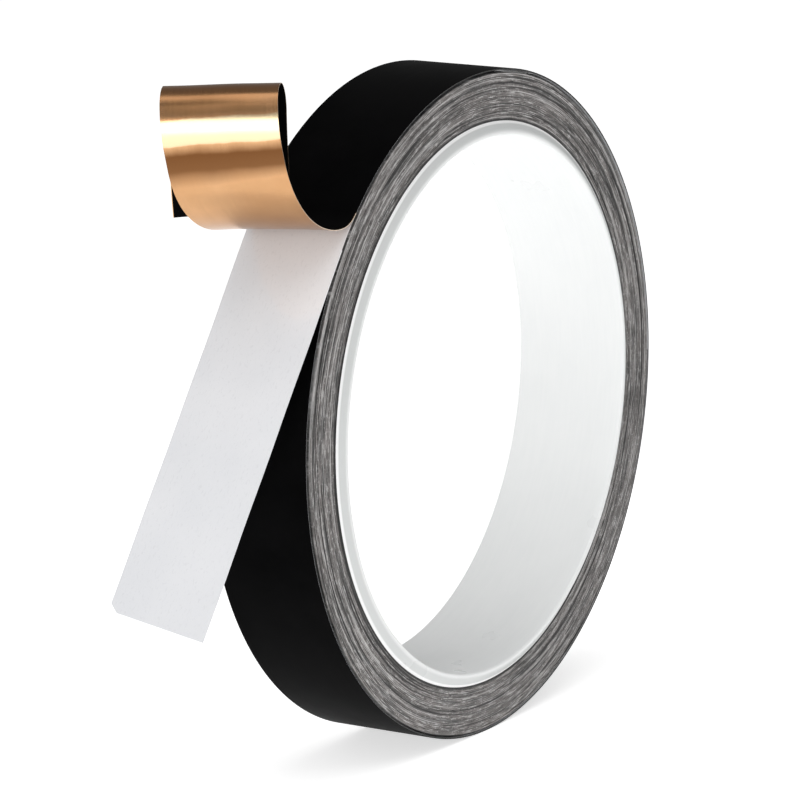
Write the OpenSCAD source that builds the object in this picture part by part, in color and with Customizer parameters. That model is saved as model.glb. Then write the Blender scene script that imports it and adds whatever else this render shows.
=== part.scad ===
// Roll of black-backed copper foil tape on a plastic core. The loose end is
// started: its paper liner hangs straight down and its foil is curled back.
// The roll stands upright with its axis along Y and its origin in the bore.

/* [Core] */
// radius of the bore, a 3 inch core
bore_r = 38.1; // [12:0.1:80]
// wall of the core under the tape
core_wall = 2.0; // [1:0.1:5]
// how far the core stands out past the tape on each side
core_lip = 0.9; // [0:0.1:3]
// width of the flat ring left at each end of the core
core_land = 0.6; // [0.2:0.1:2]
// bevel at each mouth of the bore
core_bevel = 0.25; // [0:0.05:1]

/* [Tape] */
// width of the tape
tape_w = 15.8; // [5:0.1:50]
// thickness of the release liner
liner_t = 0.12; // [0.05:0.01:0.3]
// thickness of the copper foil with its adhesive
foil_t = 0.07; // [0.03:0.01:0.3]
// thickness of the black backing film
film_t = 0.05; // [0.02:0.01:0.3]
// full turns wound tight on the core
turns = 28; // [4:1:60]
// running gap under the outermost turn
wrap_gap = 0.14; // [0.05:0.01:0.5]

/* [Loose end] */
// angle on the roll where the liner leaves it
lift_angle = 144; // [90:1:180]
// part of a turn left open behind the liner's lift-off line
wrap_open = 8; // [6:0.5:20]
// gap at the hinge lines of the liner and the foil
hinge_gap = 0.25; // [0.1:0.05:0.5]
// length of the free liner along its long edge
tail_len = 57.6; // [20:1:120]
// how much shorter the far edge of the liner is cut
tail_slant = 2.5; // [0:0.1:6]
// clipped corner of the liner
tail_clip = 1.2; // [0:0.1:4]
// angle on the roll where the foil is peeled from it
foil_angle = 139; // [90:1:180]
// direction in which the foil sets out
peel_heading = 191; // [160:1:210]
// twist of the foil between the roll and its upright stretch
curl_twist = 21; // [0:1:30]
// skew of the hooked end against the width of the tape
curl_skew = 3; // [0:0.5:10]
// twist of the hanging end, against the first one
end_twist = -12; // [-40:1:40]

/* [Hidden] */
$fn = 180;
core_r = bore_r + core_wall;
core_half = tape_w / 2 + core_lip;
pitch = liner_t + foil_t + film_t;
pack_r = core_r + (turns + 1) * pitch;
wrap_r = pack_r + wrap_gap;
wrap_foil_r = wrap_r + liner_t;
wrap_film_r = wrap_foil_r + foil_t;
wrap_out_r = wrap_film_r + film_t;
reach = 2 * wrap_out_r;
// the curl as lengths with the angle each one turns through
rise_path = [[1.5, 0], [21.5, 83.5]];
hook_path = [[2.4, 0], [5.8, 44], [11, 155], [14, -22]];
rise_len = 23;
curl_len = 56.2;
hook_mid = rise_len + 13.7;
curl_rows = 88;
curl_cols = 6;
white = [0.93, 0.94, 0.94];
paper = [0.88, 0.88, 0.9];
copper = [0.8, 0.55, 0.36];
black = [0.03, 0.03, 0.03];

// stands a flat drawing up so that it faces the front of the roll
module upright(width) {
    rotate([90, 0, 0])
        linear_extrude(height = width, center = true)
            children();
}

module half_rings(offset_r, thick, first_r, upper) {
    intersection() {
        union() {
            for (k = [0 : turns - 1])
                difference() {
                    circle(r = first_r + k * pitch + offset_r + thick);
                    circle(r = first_r + k * pitch + offset_r);
                }
        }
        translate([-reach, upper ? 0 : -reach])
            square([2 * reach, reach]);
    }
}

// one layer of the wound tape, as half turns about two centres
module winding(offset_r, thick) {
    upright(tape_w) {
        half_rings(offset_r, thick, core_r, true);
        translate([pitch / 2, 0])
            half_rings(offset_r, thick, core_r + pitch / 2, false);
    }
}

// one layer of the outermost turn, open behind the line where it leaves the roll
module wrap_layer(inner_r, thick, leave_angle) {
    end_angle = leave_angle - asin(hinge_gap / wrap_r);
    start_angle = lift_angle + wrap_open;
    upright(tape_w)
        difference() {
            circle(r = inner_r + thick);
            circle(r = inner_r);
            polygon([[0, 0],
                     reach * [cos(end_angle), sin(end_angle)],
                     reach * [cos(start_angle), sin(start_angle)]]);
        }
}

// chord of an arc of length l that turns through a degrees
function chord(l, a) = abs(a) < 0.001 ? l : 360 * l * sin(a / 2) / (PI * a);

// position and heading after u millimetres of a path
function walk(path, u, h, i = 0, x = 0, z = 0) =
    let (last = i == len(path) - 1,
         here = last || u < path[i][0],
         run = here ? u : path[i][0],
         turn = path[i][1] * run / path[i][0],
         step = chord(run, turn),
         nx = x + step * cos(h - turn / 2),
         nz = z + step * sin(h - turn / 2))
    here ? [nx, nz, h - turn] : walk(path, u - run, h - turn, i + 1, nx, nz);

function soft(k) = k * k * (3 - 2 * k);
function facing(h) = [cos(h), 0, sin(h)];

// frame at the top of the rise: place, direction, copper side and width
rise_end = walk(rise_path, rise_len, peel_heading);
foil_root = wrap_film_r * facing(foil_angle);
rise_at = foil_root + [rise_end[0], 0, rise_end[1]];
rise_dir = facing(rise_end[2]);
rise_out = cos(curl_twist) * facing(rise_end[2] + 90) - sin(curl_twist) * [0, 1, 0];
rise_wide = sin(curl_twist) * facing(rise_end[2] + 90) + cos(curl_twist) * [0, 1, 0];
hook_dir = cos(curl_skew) * rise_dir - sin(curl_skew) * rise_wide;
hook_wide = cos(curl_skew) * rise_wide + sin(curl_skew) * rise_dir;

// point on the rising foil, s along it and t across it, lifted to its copper side
function rise_point(s, t, lift) =
    let (p = walk(rise_path, s, peel_heading),
         twist = curl_twist * soft(s / rise_len),
         side = facing(p[2] + 90),
         wide = cos(twist) * [0, 1, 0] + sin(twist) * side,
         out = cos(twist) * side - sin(twist) * [0, 1, 0])
    foil_root + [p[0], 0, p[1]] + t * wide + lift * out;

// point on the hooked foil before the hanging end is twisted
function hook_point(s, t, lift) =
    let (q = s - rise_len,
         u = q * cos(curl_skew) - t * sin(curl_skew),
         v = q * sin(curl_skew) + t * cos(curl_skew),
         p = walk(hook_path, u, 0))
    rise_at + (p[0] - lift * sin(p[2])) * hook_dir
            + (p[1] + lift * cos(p[2])) * rise_out + v * hook_wide;

// turns the vector d about the unit axis k by a degrees
function turned(d, k, a) = d * cos(a) + cross(k, d) * sin(a) + k * (k * d) * (1 - cos(a));

function hang_point(s, t, lift) =
    let (h = walk(hook_path, (s - rise_len) * cos(curl_skew), 0)[2],
         axis = cos(h) * hook_dir + sin(h) * rise_out,
         mid = hook_point(s, 0, 0),
         a = end_twist * soft((s - hook_mid) / (curl_len - hook_mid)))
    mid + turned(hook_point(s, t, lift) - mid, axis, a);

function curl_point(s, t, lift) =
    s <= rise_len ? rise_point(s, t, lift)
                  : s <= hook_mid ? hook_point(s, t, lift) : hang_point(s, t, lift);

// a sheet of the curl between two lifts
module curl_sheet(low, high) {
    cols = curl_cols + 1;
    count = (curl_rows + 1) * cols;
    last = curl_rows * cols;
    grid = [for (lift = [low, high])
                for (i = [0 : curl_rows])
                    for (j = [0 : curl_cols])
                        curl_point(hinge_gap + (curl_len - hinge_gap) * i / curl_rows,
                                   tape_w * (j / curl_cols - 0.5), lift)];
    skins = [for (i = [0 : curl_rows - 1])
                 for (j = [0 : curl_cols - 1])
                     let (a = i * cols + j, b = a + 1, c = a + cols, d = c + 1)
                         each [[a, b, d], [a, d, c],
                               [a + count, d + count, b + count],
                               [a + count, c + count, d + count]]];
    sides = [for (i = [0 : curl_rows - 1])
                 let (a = i * cols, c = a + cols, b = a + curl_cols, d = b + cols)
                     each [[a, c, c + count], [a, c + count, a + count],
                           [b, d + count, d], [b, b + count, d + count]]];
    ends = [for (j = [0 : curl_cols - 1])
                let (a = j, b = j + 1, c = last + j, d = last + j + 1)
                    each [[a, b + count, b], [a, a + count, b + count],
                          [c, d, d + count], [c, d + count, c + count]]];
    polyhedron(points = grid, faces = concat(skins, sides, ends), convexity = 8);
}

module core() {
    color(white)
        rotate([90, 0, 0])
            rotate_extrude()
                polygon([[bore_r, core_bevel - core_half],
                         [bore_r + core_bevel, -core_half],
                         [bore_r + core_bevel + core_land, -core_half],
                         [core_r, -tape_w / 2],
                         [core_r, tape_w / 2],
                         [bore_r + core_bevel + core_land, core_half],
                         [bore_r + core_bevel, core_half],
                         [bore_r, core_half - core_bevel]]);
}

module liner_windings() {
    color(paper)
        winding(0, liner_t);
}

module foil_windings() {
    color(copper)
        winding(liner_t, foil_t);
}

module film_windings() {
    color(black)
        winding(liner_t + foil_t, film_t);
}

module liner_wrap() {
    color(paper)
        wrap_layer(wrap_r, liner_t, lift_angle);
}

module foil_wrap() {
    color(copper)
        wrap_layer(wrap_foil_r, foil_t, foil_angle);
}

module film_wrap() {
    color(black)
        wrap_layer(wrap_film_r, film_t, foil_angle);
}

module liner_tail() {
    half = tape_w / 2;
    color(paper)
        rotate([0, 90 - lift_angle, 0])
            translate([0, 0, wrap_r])
                linear_extrude(height = liner_t)
                    polygon([[-hinge_gap, -half],
                             [-hinge_gap, half],
                             [tail_slant + tail_clip - tail_len, half],
                             [tail_slant - tail_len, half - tail_clip],
                             [-tail_len, -half]]);
}

module foil_curl() {
    color(copper)
        curl_sheet(0, foil_t);
}

module film_curl() {
    color(black)
        curl_sheet(-film_t, 0);
}

core();
liner_windings();
foil_windings();
film_windings();
liner_wrap();
foil_wrap();
film_wrap();
liner_tail();
foil_curl();
film_curl();
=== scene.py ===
# A started roll of black-backed copper foil tape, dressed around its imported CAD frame.
import math
import random

import bpy
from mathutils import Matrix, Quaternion, Vector


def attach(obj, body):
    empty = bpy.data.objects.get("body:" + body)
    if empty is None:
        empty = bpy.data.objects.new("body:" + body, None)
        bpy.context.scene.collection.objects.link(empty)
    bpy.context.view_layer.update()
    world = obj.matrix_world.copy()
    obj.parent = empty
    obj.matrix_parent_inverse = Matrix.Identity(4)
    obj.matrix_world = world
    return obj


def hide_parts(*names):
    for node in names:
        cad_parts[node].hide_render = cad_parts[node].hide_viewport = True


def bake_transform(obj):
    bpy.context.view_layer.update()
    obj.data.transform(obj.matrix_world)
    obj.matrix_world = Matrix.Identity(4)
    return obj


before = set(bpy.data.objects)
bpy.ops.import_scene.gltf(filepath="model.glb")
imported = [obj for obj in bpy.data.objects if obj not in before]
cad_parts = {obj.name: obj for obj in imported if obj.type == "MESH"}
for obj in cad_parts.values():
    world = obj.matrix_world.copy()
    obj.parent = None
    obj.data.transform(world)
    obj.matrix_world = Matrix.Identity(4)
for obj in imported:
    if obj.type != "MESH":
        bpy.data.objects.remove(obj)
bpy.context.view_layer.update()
rng = random.Random(5)
MM = 0.001

# sizes of the CAD model, in millimetres
BORE_R, CORE_R, CORE_HALF = 38.1, 40.1, 8.8
TAPE_W, LINER_T, FOIL_T, FILM_T, TURNS = 15.8, 0.12, 0.07, 0.05, 28
PITCH = LINER_T + FOIL_T + FILM_T
WRAP_R = CORE_R + (TURNS + 1) * PITCH + 0.14
FOIL_R = WRAP_R + LINER_T
FILM_R = FOIL_R + FOIL_T
OUT_R = FILM_R + FILM_T
LIFT, FOIL_LIFT, PEEL = 144.0, 139.0, 191.0
RISE, RISE_LEN = [(1.5, 0), (21.5, 83.5)], 23.0
HOOK, CURL_LEN, HOOK_MID = [(2.4, 0), (5.8, 44), (11.0, 155), (14.0, -22)], 56.2, 36.7
TWIST, SKEW, END_TWIST = 21.0, 3.0, -12.0
TAIL, TAIL_SLANT, TAIL_CLIP = 57.6, 2.5, 1.2
TAIL_SQUARE = 50.0  # the liner's end is cut out of square beyond this length
WRAP_OPEN = 8.0
HALF = TAPE_W / 2
FILM_INSET = 0.09  # the film is a little narrower than the foil, on each side


def rad(a):
    return math.radians(a)


def lerp(a, b, t):
    return a + (b - a) * t


def smooth(t):
    t = max(0.0, min(1.0, t))
    return t * t * (3 - 2 * t)


class Waves:
    """A smooth random line made of a few sine waves, about -1 to 1."""

    def __init__(self, low, high, count):
        self.parts = [(rng.uniform(low, high), rng.uniform(0, 6.28), rng.uniform(0.4, 1))
                      for _ in range(count)]
        self.total = sum(p[2] for p in self.parts)

    def __call__(self, x):
        return sum(w * math.sin(f * x + p) for f, p, w in self.parts) / self.total * 1.6


# ---------------------------------------------------------------- materials

def new_material(name):
    m = bpy.data.materials.new(name)
    m.use_nodes = True
    return m, m.node_tree, m.node_tree.nodes["Principled BSDF"]


def put(tree, kind, **values):
    """Adds a node; a value is a number, a tuple or another node's output."""
    n = tree.nodes.new(kind)
    for key, value in values.items():
        if key.startswith("at_"):
            socket = n.inputs[int(key[3:])]
        elif key in n.inputs.keys():
            socket = n.inputs[key]
        elif key.replace("_", " ") in n.inputs.keys():
            socket = n.inputs[key.replace("_", " ")]
        else:
            setattr(n, key, value)
            continue
        if isinstance(value, bpy.types.NodeSocket):
            tree.links.new(value, socket)
        else:
            socket.default_value = value
    return n


def math_node(tree, op, a, b=0.0):
    return put(tree, "ShaderNodeMath", operation=op, at_0=a, at_1=b).outputs[0]


def ramp(tree, fac, stops):
    n = put(tree, "ShaderNodeValToRGB", Fac=fac)
    e = n.color_ramp.elements
    while len(e) < len(stops):
        e.new(0.5)
    for k, (pos, col) in enumerate(stops):
        e[k].position = pos
        e[k].color = (col, col, col, 1) if not isinstance(col, tuple) else (*col, 1)
    return n.outputs[0]


def mix(tree, fac, a, b):
    n = put(tree, "ShaderNodeMix", data_type="RGBA", blend_type="MIX")
    for socket, value in ((n.inputs[0], fac), (n.inputs[6], a), (n.inputs[7], b)):
        if isinstance(value, bpy.types.NodeSocket):
            tree.links.new(value, socket)
        else:
            socket.default_value = (*value, 1) if isinstance(value, tuple) else value
    return n.outputs[2]


def polar(tree, radial, around, axial):
    """Coordinates that follow the roll: radius, angle and width, each scaled."""
    co = put(tree, "ShaderNodeTexCoord").outputs["Object"]
    s = put(tree, "ShaderNodeSeparateXYZ", at_0=co)
    x, y, z = s.outputs
    xx, zz = math_node(tree, "MULTIPLY", x, x), math_node(tree, "MULTIPLY", z, z)
    r = math_node(tree, "SQRT", math_node(tree, "ADD", xx, zz))
    # the unit circle keeps the pattern free of a seam
    cx = math_node(tree, "DIVIDE", x, r)
    cz = math_node(tree, "DIVIDE", z, r)
    rr = math_node(tree, "MULTIPLY", r, radial)
    a = put(tree, "ShaderNodeCombineXYZ",
            X=math_node(tree, "MULTIPLY", cx, around),
            Y=math_node(tree, "MULTIPLY", cz, around),
            Z=math_node(tree, "ADD", rr, math_node(tree, "MULTIPLY", y, axial)))
    return a.outputs[0], r


def ring_fade(tree, r, start, width, stops):
    """A ramp over the radius, from start and over width, both in millimetres."""
    depth = math_node(tree, "SUBTRACT", r, start * MM)
    return ramp(tree, math_node(tree, "MULTIPLY", depth, 1000.0 / width), stops)


def strip_coords(tree, along, across):
    """Coordinates in millimetres along and across the tape, each scaled."""
    uv = put(tree, "ShaderNodeUVMap", uv_map="strip").outputs[0]
    return put(tree, "ShaderNodeMapping", Vector=uv, Scale=(along, across, 1)).outputs[0]


def bump(tree, bsdf, height, strength, distance):
    b = put(tree, "ShaderNodeBump", Height=height, Strength=strength, Distance=distance)
    tree.links.new(b.outputs[0], bsdf.inputs["Normal"])


def noise(tree, vector, scale, detail=4.0, rough=0.6, distortion=0.0):
    return put(tree, "ShaderNodeTexNoise", Vector=vector, Scale=scale, Detail=detail,
               Roughness=rough, Distortion=distortion).outputs[0]


def core_material():
    m, t, b = new_material("core_plastic")
    co = put(t, "ShaderNodeTexCoord").outputs["Object"]
    ring, r = polar(t, 300.0, 6.0, 2500.0)
    lines = noise(t, ring, 1.0, 3)
    cloud = noise(t, co, 60.0, 4)
    speck = noise(t, co, 2500.0, 2)
    col = mix(t, cloud, (0.80, 0.815, 0.815), (0.88, 0.89, 0.885))
    col = mix(t, ramp(t, lines, [(0.35, 0.0), (0.75, 0.35)]), col, (0.90, 0.905, 0.90))
    wall = CORE_R - BORE_R
    ring_grey = ring_fade(t, r, BORE_R, wall, [(0.2, 0.0), (0.4, 0.85), (0.78, 0.85), (0.86, 0.0)])
    col = mix(t, ring_grey, col, (0.60, 0.615, 0.61))
    col = mix(t, ring_fade(t, r, BORE_R, wall, [(0.80, 0.0), (0.88, 1.0)]), col, (0.97, 0.97, 0.97))
    t.links.new(col, b.inputs["Base Color"])
    t.links.new(ramp(t, cloud, [(0.3, 0.26), (0.7, 0.38)]), b.inputs["Roughness"])
    b.inputs["Subsurface Weight"].default_value = 0.12
    b.inputs["Subsurface Radius"].default_value = (0.002, 0.002, 0.002)
    b.inputs["Subsurface Scale"].default_value = 0.6
    bump(t, b, mix(t, 0.85, lines, speck), 0.03, 0.00004)
    return m


def edge_material(name, tone, dark, light, brown):
    """The slit edge of one tape layer: streaks that run round the roll."""
    m, t, b = new_material(name)
    fine, r = polar(t, 4600.0, 16.0, 0.0)
    broad, _ = polar(t, 1900.0, 6.0, 0.0)
    long, _ = polar(t, 2500.0, 1.1, 0.0)
    n1 = noise(t, fine, 1.0, 5, 0.75)
    n2 = noise(t, broad, 1.0, 4, 0.6)
    n3 = noise(t, long, 1.0, 3, 0.65)
    grain = noise(t, put(t, "ShaderNodeTexCoord").outputs["Object"], 2200.0, 3)
    col = mix(t, ramp(t, n2, [(0.34, 0.0), (0.66, 1.0)]), tone, brown)
    col = mix(t, ramp(t, n1, [(0.53, 0.0), (0.62, 0.9)]), col, light)
    col = mix(t, ramp(t, n2, [(0.54, 0.0), (0.66, 0.3)]), col, light)
    col = mix(t, ramp(t, grain, [(0.60, 0.0), (0.70, 0.6)]), col, light)
    col = mix(t, ramp(t, n1, [(0.36, 1.0), (0.45, 0.0)]), col, dark)
    col = mix(t, ramp(t, n2, [(0.36, 0.5), (0.45, 0.0)]), col, dark)
    col = mix(t, ramp(t, n3, [(0.40, 0.92), (0.46, 0.0)]), col, dark)
    col = mix(t, ramp(t, n3, [(0.57, 0.0), (0.63, 0.5)]), col, light)
    inner = ring_fade(t, r, CORE_R + 0.22, 0.5, [(0.0, 1.0), (0.55, 0.0)])
    outer = ring_fade(t, r, OUT_R - 0.62, 0.4, [(0.35, 0.0), (0.9, 1.0)])
    col = mix(t, inner, col, (0.003, 0.003, 0.003))
    col = mix(t, outer, col, (0.004, 0.004, 0.004))
    t.links.new(col, b.inputs["Base Color"])
    b.inputs["Roughness"].default_value = 0.55
    bump(t, b, n1, 0.5, 0.00005)
    return m


def film_material():
    """Black backing film with a faint sheen, hair lines and light scuffs."""
    m, t, b = new_material("black_film")
    co = put(t, "ShaderNodeTexCoord").outputs["Object"]
    lines = noise(t, strip_coords(t, 0.03, 9.0), 1.0, 3, 0.7)
    cloud = noise(t, co, 90.0, 5, 0.6)
    grain = noise(t, co, 3000.0, 2)
    worn = ramp(t, cloud, [(0.3, 0.0), (0.75, 1.0)])
    col = mix(t, worn, (0.0012, 0.0012, 0.0013), (0.0035, 0.0034, 0.0036))
    t.links.new(col, b.inputs["Base Color"])
    t.links.new(ramp(t, mix(t, 0.5, cloud, lines), [(0.3, 0.40), (0.7, 0.56)]), b.inputs["Roughness"])
    b.inputs["IOR"].default_value = 1.06
    bump(t, b, mix(t, 0.5, lines, grain), 0.10, 0.00004)
    return m


# painted reflections on the copper: how bright the copper is painted, by millimetres along the free
# foil; 0 is dark brown, 1 is pale
PAINTED_REFLECTION_BANDS = [(0.0, 0.42), (6.0, 0.42), (12.0, 0.58), (16.5, 0.84), (20.4, 0.84), (21.8, 0.40),
         (22.6, 0.10), (24.8, 0.04), (25.7, 0.60), (26.3, 1.0), (29.4, 1.0), (30.2, 0.62),
         (32.0, 0.42), (34.5, 0.25), (36.5, 0.5), (40.0, 0.9)]
REFLECTION_BAND_SPAN = 56.0


def copper_material():
    """Rolled copper under a thin clear adhesive coat, with painted reflection bands across it."""
    m, t, b = new_material("copper_foil")
    co = put(t, "ShaderNodeTexCoord").outputs["Object"]
    rolling = noise(t, strip_coords(t, 0.05, 7.0), 1.0, 5, 0.75)
    hair = noise(t, strip_coords(t, 0.12, 26.0), 1.0, 3, 0.8)
    cloud = noise(t, co, 120.0, 4)
    col = mix(t, ramp(t, cloud, [(0.3, 0.0), (0.7, 1.0)]), (0.70, 0.385, 0.18), (0.80, 0.465, 0.235))
    col = mix(t, ramp(t, rolling, [(0.35, 0.35), (0.6, 0.0)]), col, (0.55, 0.29, 0.14))
    # painted reflections: bands across the foil are painted darker brown and paler, on top of the real
    # reflections
    uv = put(t, "ShaderNodeUVMap", uv_map="strip").outputs[0]
    along = put(t, "ShaderNodeSeparateXYZ", at_0=uv).outputs[0]
    blur = math_node(t, "MULTIPLY", math_node(t, "SUBTRACT", cloud, 0.5), 1.2)
    place = math_node(t, "DIVIDE", math_node(t, "ADD", along, blur), REFLECTION_BAND_SPAN)
    painted_reflection = ramp(t, place, [(mm / REFLECTION_BAND_SPAN, shade) for mm, shade in PAINTED_REFLECTION_BANDS])
    col = mix(t, painted_reflection, (0.150, 0.055, 0.014), col)
    # painted highlight: where the painted reflection bands are palest, the copper is painted near
    # white
    col = mix(t, ramp(t, painted_reflection, [(0.86, 0.0), (1.0, 0.75)]), col, (0.97, 0.82, 0.52))
    t.links.new(col, b.inputs["Base Color"])
    b.inputs["Metallic"].default_value = 1.0
    t.links.new(ramp(t, mix(t, 0.5, rolling, hair), [(0.3, 0.17), (0.7, 0.29)]), b.inputs["Roughness"])
    b.inputs["Anisotropic"].default_value = 0.5
    b.inputs["Coat Weight"].default_value = 0.12
    b.inputs["Coat Roughness"].default_value = 0.22
    bump(t, b, mix(t, 0.5, rolling, hair), 0.10, 0.00004)
    return m


def liner_material():
    """Siliconed release paper: pale, smooth and a little glossy."""
    m, t, b = new_material("liner_paper")
    co = put(t, "ShaderNodeTexCoord").outputs["Object"]
    fibre = noise(t, strip_coords(t, 1.2, 3.0), 1.0, 6, 0.7, 0.6)
    cloud = noise(t, co, 70.0, 4)
    col = mix(t, ramp(t, cloud, [(0.3, 0.0), (0.7, 1.0)]), (0.74, 0.75, 0.775), (0.79, 0.795, 0.815))
    col = mix(t, ramp(t, fibre, [(0.35, 0.06), (0.55, 0.0)]), col, (0.70, 0.705, 0.73))
    t.links.new(col, b.inputs["Base Color"])
    t.links.new(ramp(t, fibre, [(0.3, 0.24), (0.7, 0.36)]), b.inputs["Roughness"])
    b.inputs["Coat Weight"].default_value = 0.65
    b.inputs["Coat IOR"].default_value = 1.65
    b.inputs["Coat Roughness"].default_value = 0.05
    bump(t, b, fibre, 0.04, 0.00004)
    return m


# ---------------------------------------------------------------- geometry

def build(name, verts, faces, mats, slots, uvs=None):
    me = bpy.data.meshes.new(name)
    me.from_pydata([tuple(c * MM for c in v) for v in verts], [], faces)
    for m in mats:
        me.materials.append(m)
    for i, p in enumerate(me.polygons):
        p.material_index = slots[i]
        p.use_smooth = True
    layer = me.uv_layers.new(name="strip")
    if uvs:
        for loop in me.loops:
            layer.data[loop.index].uv = uvs[loop.vertex_index]
    me.validate()
    me.update()
    o = bpy.data.objects.new(name, me)
    bpy.context.scene.collection.objects.link(o)
    return o


def sharpen(o, angle):
    bpy.context.view_layer.objects.active = o
    o.select_set(True)
    bpy.ops.object.shade_smooth_by_angle(angle=rad(angle))
    o.select_set(False)
    return o


def loop_strip(name, stations, closed, mats, edge_faces=(), uvs=None):
    """Joins equal rings of points, each a closed cross-section, into one skin."""
    n, k = len(stations), len(stations[0])
    verts = [p for ring in stations for p in ring]
    faces, slots = [], []
    for i in range(n if closed else n - 1):
        j = (i + 1) % n
        for c in range(k):
            d = (c + 1) % k
            faces.append((i * k + c, i * k + d, j * k + d, j * k + c))
            slots.append(1 if c in edge_faces else 0)
    if not closed:
        faces.append(tuple(reversed(range(k))))
        faces.append(tuple(range((n - 1) * k, n * k)))
        slots += [1 if edge_faces else 0] * 2
    return build(name, verts, faces, mats, slots, uvs)


def lathe(name, profile, mats, count=360):
    stations = []
    for i in range(count):
        a = 2 * math.pi * i / count
        stations.append([(r * math.cos(a), y, r * math.sin(a)) for r, y in profile])
    return loop_strip(name, stations, True, mats)


def make_core(mat):
    """Core with softly rounded ends."""
    def end(sign):
        pts = [(BORE_R, CORE_HALF - 0.32)]
        for k in range(1, 6):
            a = math.pi / 2 * k / 5
            pts.append((BORE_R + 0.28 * (1 - math.cos(a)), CORE_HALF - 0.32 + 0.32 * math.sin(a)))
        for k in range(1, 9):
            u = k / 8
            pts.append((lerp(BORE_R + 0.75, CORE_R, u), lerp(CORE_HALF, HALF + 0.02, u ** 0.9)))
        return [(r, sign * y) for r, y in pts]
    low, high = end(-1), end(1)
    bore = [(BORE_R, y) for y in (7.4, 5.0, 2.5, 0.0, -2.5, -5.0, -7.4)]
    outer = [(CORE_R, -7.0), (CORE_R, 0.0), (CORE_R, 7.0)]
    profile = low + outer + high[::-1] + bore
    return sharpen(lathe("core_shell", profile, [mat]), 50)


def spiral_radius(turn):
    """Radius of the wound tape's inner face after so many turns."""
    k, part = int(turn), turn - int(turn)
    if part <= 0.5:
        return CORE_R + k * PITCH
    a = 2 * math.pi * part
    return CORE_R + k * PITCH + PITCH / 2 * (1 + math.cos(a))


SHIFT = [Waves(0.3, 2.6, 5) for _ in range(TURNS + 2)]
STEP = [rng.uniform(-1, 1) for _ in range(TURNS + 2)]


def side_shift(turn):
    """How far the tape's edge wanders from true, turn by turn, in millimetres."""
    k, part = int(turn), turn - int(turn)
    a = STEP[k] * 0.035 + 0.03 * SHIFT[k](part * 6.28)
    b = STEP[k + 1] * 0.035 + 0.03 * SHIFT[k + 1](0)
    return lerp(a, b, smooth((part - 0.9) / 0.1))


def section(r0, r1, lo, hi, a):
    """The tape's cross-section between two radii and two edges, at angle a."""
    c, s = math.cos(a), math.sin(a)
    return [(r0 * c, lo, r0 * s), (r1 * c, lo, r1 * s), (r1 * c, hi, r1 * s), (r0 * c, hi, r0 * s)]


def make_winding(name, offset, thick, inset, mat):
    """One layer of the wound turns, as a single spiral."""
    per = 200
    total = TURNS * per
    stations = []
    for i in range(total + 1):
        turn = i / per
        if i == total:
            r = CORE_R + TURNS * PITCH
        else:
            r = spiral_radius(turn)
        d = side_shift(min(turn, TURNS - 1e-6))
        lo, hi = -HALF + d + inset, HALF + d - inset
        stations.append(section(r + offset, r + offset + thick, lo, hi, 2 * math.pi * turn))
    return sharpen(loop_strip(name, stations, False, [mat]), 40)


def make_wrap(name, r0, r1, stop, face, edge, edge_faces, wander, inset=0.0):
    """One layer of the outermost turn."""
    first, last = LIFT + WRAP_OPEN - 360.0, stop
    count = 360
    stations, uvs = [], []
    for i in range(count + 1):
        a = rad(lerp(first, last, i / count))
        d = wander(a)
        lo, hi = -HALF + d + inset, HALF + d - inset
        stations.append(section(r0, r1, lo, hi, a))
        arc = r1 * (a - rad(first))
        uvs += [(arc, lo), (arc, lo), (arc, hi), (arc, hi)]
    o = loop_strip(name, stations, False, [face, edge], edge_faces, uvs)
    return sharpen(o, 40)


def chord(l, a):
    return l if abs(a) < 1e-3 else 360 * l * math.sin(rad(a / 2)) / (math.pi * a)


FILLET = 5.0
BEND = FOIL_LIFT + 90.0 - PEEL
CUT = FILLET * math.tan(rad(BEND / 2))
Y = Vector((0, 1, 0))


def facing(h):
    return Vector((math.cos(rad(h)), 0, math.sin(rad(h))))


def walk(path, u, h, x=0.0, z=0.0):
    """Place and heading after u millimetres of a chain of arcs."""
    for k, (length, turn) in enumerate(path):
        run = u if k == len(path) - 1 or u < length else length
        part = turn * run / length
        step = chord(run, part)
        x += step * math.cos(rad(h - part / 2))
        z += step * math.sin(rad(h - part / 2))
        h -= part
        if run == u:
            break
        u -= length
    return x, z, h


def rise_walk(s):
    """The foil's rise, with a rounded start that leaves the roll's own curve smoothly."""
    if s >= CUT:
        return walk(RISE, s, PEEL)
    f = max(0.0, (s + CUT) / (2 * CUT))
    h0, turn = FOIL_LIFT + 90.0, BEND * f
    step = chord(FILLET * rad(BEND) * f, turn)
    x = -CUT * math.cos(rad(h0)) + step * math.cos(rad(h0 - turn / 2))
    z = -CUT * math.sin(rad(h0)) + step * math.sin(rad(h0 - turn / 2))
    return x, z, h0 - turn


ex, ez, eh = walk(RISE, RISE_LEN, PEEL)
ROOT = FILM_R * facing(FOIL_LIFT)
RISE_AT = ROOT + Vector((ex, 0, ez))
RISE_DIR = facing(eh)
RISE_OUT = math.cos(rad(TWIST)) * facing(eh + 90) - math.sin(rad(TWIST)) * Y
RISE_WIDE = math.sin(rad(TWIST)) * facing(eh + 90) + math.cos(rad(TWIST)) * Y
HOOK_DIR = math.cos(rad(SKEW)) * RISE_DIR - math.sin(rad(SKEW)) * RISE_WIDE
HOOK_WIDE = math.cos(rad(SKEW)) * RISE_WIDE + math.sin(rad(SKEW)) * RISE_DIR
DENT = [Waves(0.12, 0.5, 5), Waves(0.2, 0.8, 5), Waves(0.05, 0.35, 4)]


def hook_point(s, t, lift):
    q = s - RISE_LEN
    u = q * math.cos(rad(SKEW)) - t * math.sin(rad(SKEW))
    v = q * math.sin(rad(SKEW)) + t * math.cos(rad(SKEW))
    x, z, h = walk(HOOK, u, 0.0)
    return (RISE_AT + (x - lift * math.sin(rad(h))) * HOOK_DIR
            + (z + lift * math.cos(rad(h))) * RISE_OUT + v * HOOK_WIDE)


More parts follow.
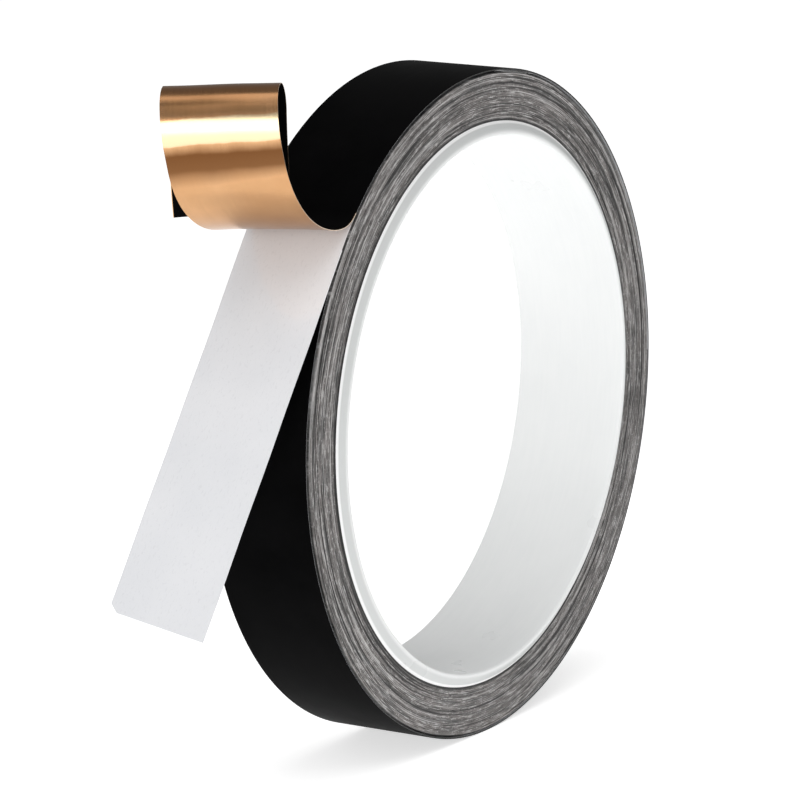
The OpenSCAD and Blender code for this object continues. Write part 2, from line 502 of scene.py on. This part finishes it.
def curl_point(s, t, lift):
    """A point of the peeled foil, s along and t across the tape, lifted to its copper side."""
    k = smooth((s - 1.5) / 5.0)
    lift += k * (0.05 * DENT[0](s + 0.3 * t) + 0.03 * DENT[1](s - 0.5 * t) * (t / HALF) ** 2
                 + 0.05 * DENT[2](t * 1.5 + s * 0.1))
    if s <= RISE_LEN:
        x, z, h = rise_walk(s)
        twist = TWIST * smooth(s / RISE_LEN)
        side = facing(h + 90)
        wide = math.cos(rad(twist)) * Y + math.sin(rad(twist)) * side
        out = math.cos(rad(twist)) * side - math.sin(rad(twist)) * Y
        p = ROOT + Vector((x, 0, z)) + t * wide + lift * out
    elif s <= HOOK_MID:
        p = hook_point(s, t, lift)
    else:
        h = walk(HOOK, (s - RISE_LEN) * math.cos(rad(SKEW)), 0.0)[2]
        axis = math.cos(rad(h)) * HOOK_DIR + math.sin(rad(h)) * RISE_OUT
        mid = hook_point(s, 0.0, 0.0)
        turn = Quaternion(axis, rad(END_TWIST * smooth((s - HOOK_MID) / (CURL_LEN - HOOK_MID))))
        d = hook_point(s, t, lift) - mid
        d.rotate(turn)
        p = mid + d
    return tuple(p)


def sheet_grid(name, point, s0, s1, rows, cols, low, high, mats, edge_slot=0):
    """A thin closed sheet over a grid: two faces, two long edges and two ends."""
    verts, uvs, faces, slots = [], [], [], []
    n = cols + 1
    for lift in (low, high):
        for i in range(rows + 1):
            s = lerp(s0, s1, i / rows)
            for j in range(n):
                t = lerp(-HALF, HALF, j / cols)
                verts.append(point(s, t, lift))
                uvs.append((s, t))
    m = (rows + 1) * n
    for i in range(rows):
        for j in range(cols):
            a, b, c, d = i * n + j, i * n + j + 1, (i + 1) * n + j, (i + 1) * n + j + 1
            faces += [(a, b, d, c), (a + m, c + m, d + m, b + m)]
            slots += [0, 0]
    for i in range(rows):
        a, c = i * n, (i + 1) * n
        b, d = a + cols, c + cols
        faces += [(a, c, c + m, a + m), (b, b + m, d + m, d)]
        slots += [edge_slot] * 2
    for j in range(cols):
        a, b = j, j + 1
        c, d = rows * n + j, rows * n + j + 1
        faces += [(a, a + m, b + m, b), (c, d, d + m, c + m)]
        slots += [edge_slot] * 2
    return sharpen(build(name, verts, faces, mats, slots, uvs), 40)


TAIL_BOW = Waves(0.03, 0.09, 3)


def tail_point(s, t, lift):
    """A point of the free liner: straight, with a very slight bow and two soft ripples."""
    slant = TAIL - TAIL_SLANT * (t + HALF) / TAPE_W
    if s >= TAIL_SQUARE:
        s = TAIL_SQUARE + (s - TAIL_SQUARE) * (slant - TAIL_SQUARE) / (TAIL - TAIL_SQUARE)
    clip = max(0.0, t - (HALF - TAIL_CLIP)) / TAIL_CLIP
    if s > TAIL_SQUARE:
        s -= clip * ((s - TAIL_SQUARE) / (slant - TAIL_SQUARE)) ** 6
    fade = smooth(s / 12)
    ripple = 0.04 * (t / HALF) ** 2 * math.sin(s * 0.35)
    bow = fade * (0.35 * (s / TAIL) ** 2 + 0.10 * TAIL_BOW(s) + ripple)
    r = WRAP_R + lift + bow
    ca, sa = math.cos(rad(LIFT)), math.sin(rad(LIFT))
    if s < 0:
        a = rad(LIFT) + s / WRAP_R
        return ((WRAP_R + lift) * math.cos(a), t, (WRAP_R + lift) * math.sin(a))
    return (r * ca - s * sa, t, r * sa + s * ca)


# ---------------------------------------------------------------- pieces

plastic = core_material()
liner = liner_material()
copper = copper_material()
film = film_material()
# each slit edge: tone, dark streaks, light specks, brown patches
liner_edge = edge_material("liner_edge", (0.21, 0.21, 0.207), (0.006, 0.0055, 0.0055),
                           (0.70, 0.69, 0.685), (0.16, 0.137, 0.128))
foil_edge = edge_material("foil_edge", (0.13, 0.122, 0.118), (0.005, 0.0045, 0.0045),
                          (0.52, 0.50, 0.49), (0.13, 0.10, 0.09))
film_edge = edge_material("film_edge", (0.09, 0.088, 0.087), (0.004, 0.004, 0.004),
                          (0.40, 0.39, 0.385), (0.06, 0.055, 0.052))

core = make_core(plastic)
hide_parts("core"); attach(core, "roll")

for name, node, offset, thick, inset, mat, slot in (
        ("liner_turns", "liner_windings", 0.0, LINER_T, 0.0, liner_edge, "liner_paper"),
        ("foil_turns", "foil_windings", LINER_T, FOIL_T, 0.015, foil_edge, "copper_foil"),
        ("film_turns", "film_windings", LINER_T + FOIL_T, FILM_T, 0.0, film_edge, "black_film")):
    o = make_winding(name, offset, thick, inset, mat)
    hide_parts(node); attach(o, "roll")

wander = Waves(1, 4, 5)
LEAVE = FOIL_LIFT - math.degrees(CUT / FILM_R)


def wrap_wander(a):
    return 0.03 * wander(a) * smooth((rad(LIFT) - a) / 0.3)


for name, node, r0, r1, stop, inset, face, edge, slot in (
        ("liner_turn", "liner_wrap", WRAP_R, FOIL_R, LIFT, 0.0, liner, liner_edge, "liner_paper"),
        ("foil_turn", "foil_wrap", FOIL_R, FILM_R, LEAVE, 0.015, copper, foil_edge, "copper_foil"),
        ("film_turn", "film_wrap", FILM_R, OUT_R, LEAVE, 0.0, film, film, "black_film")):
    o = make_wrap(name, r0, r1, stop, face, edge, (0, 2), wrap_wander, inset)
    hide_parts(node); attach(o, "outer_wrap")

tail = sheet_grid("liner_tail_sheet", tail_point, -0.6, TAIL, 110, 12, 0.0, LINER_T, [liner])
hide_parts("liner_tail")

burr, bt, bb = new_material("copper_edge")
glint = noise(bt, strip_coords(bt, 1.5, 1.0), 1.0, 3)
bt.links.new(mix(bt, glint, (0.85, 0.62, 0.42), (1.0, 0.90, 0.76)), bb.inputs["Base Color"])
bb.inputs["Metallic"].default_value = 0.6
bb.inputs["Roughness"].default_value = 0.35

foil = sheet_grid("foil_curl_sheet", curl_point, -CUT, CURL_LEN, 230, 24, 0.0, FOIL_T,
                  [copper, burr], edge_slot=1)
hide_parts("foil_curl")


def film_point(s, t, lift):
    return curl_point(s, t * (1 - FILM_INSET / HALF), lift)


back = sheet_grid("film_curl_sheet", film_point, -CUT, CURL_LEN, 230, 24, -FILM_T, 0.0, [film])
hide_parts("film_curl")

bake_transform(tail)
for o in (foil, back):
    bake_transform(o)

# ---------------------------------------------------------------- stage and light

bpy.ops.mesh.primitive_plane_add(size=6.0, location=(0, 0, -(OUT_R + 0.02) * MM))
floor = bpy.context.object
floor.name = "floor"
fm, ft, fb = new_material("floor_paper")
soft = noise(ft, put(ft, "ShaderNodeTexCoord").outputs["Object"], 6.0, 3)
ft.links.new(mix(ft, soft, (0.93, 0.93, 0.93), (0.95, 0.95, 0.95)), fb.inputs["Base Color"])
fb.inputs["Roughness"].default_value = 0.9
fb.inputs["Specular IOR Level"].default_value = 0.1
fb.inputs["Emission Color"].default_value = (1, 1, 1, 1)
fb.inputs["Emission Strength"].default_value = 0.62
floor.data.materials.append(fm)

world = bpy.data.worlds.new("studio")
bpy.context.scene.world = world
world.use_nodes = True
world.node_tree.nodes["Background"].inputs[0].default_value = (1, 1, 1, 1)
world.node_tree.nodes["Background"].inputs[1].default_value = 0.30


def area(name, where, aim, size, power, size_y=None, tint=(1, 1, 1)):
    data = bpy.data.lights.new(name, "AREA")
    data.energy = power
    data.color = tint
    data.shape = "RECTANGLE"
    data.size, data.size_y = size, size_y or size
    o = bpy.data.objects.new(name, data)
    bpy.context.scene.collection.objects.link(o)
    o.location = where
    o.rotation_euler = (Vector(aim) - Vector(where)).to_track_quat("-Z", "Y").to_euler()
    return o


area("key_top", (-0.25, -0.25, 1.1), (0, 0, 0), 1.0, 5.0)
area("side_left", (-0.9, 0.35, 0.45), (0, 0, 0), 0.5, 1.6, 0.9)
area("left_strip", (-0.9, -0.18, 0.14), (-0.05, 0, 0.04), 0.9, 2.2, 0.36)
area("front_fill", (0.2, -1.1, 0.5), (0, 0, 0), 0.8, 0.75)

cam_data = bpy.data.cameras.new("camera")
cam = bpy.data.objects.new("camera", cam_data)
bpy.context.scene.collection.objects.link(cam)
bpy.context.scene.camera = cam
az, el, dist = rad(-59.0), rad(11.7), 0.708
back_dir = Vector((math.sin(az) * math.cos(el), -math.cos(az) * math.cos(el), math.sin(el)))
cam.location = back_dir * dist
cam.rotation_euler = (-back_dir).to_track_quat("-Z", "Y").to_euler()
cam_data.lens = 225.0
cam_data.sensor_width = 36.0
cam_data.shift_x = -0.0486
cam_data.shift_y = -0.0014
cam_data.clip_start, cam_data.clip_end = 0.01, 20
bpy.context.scene.view_settings.view_transform = "Standard"
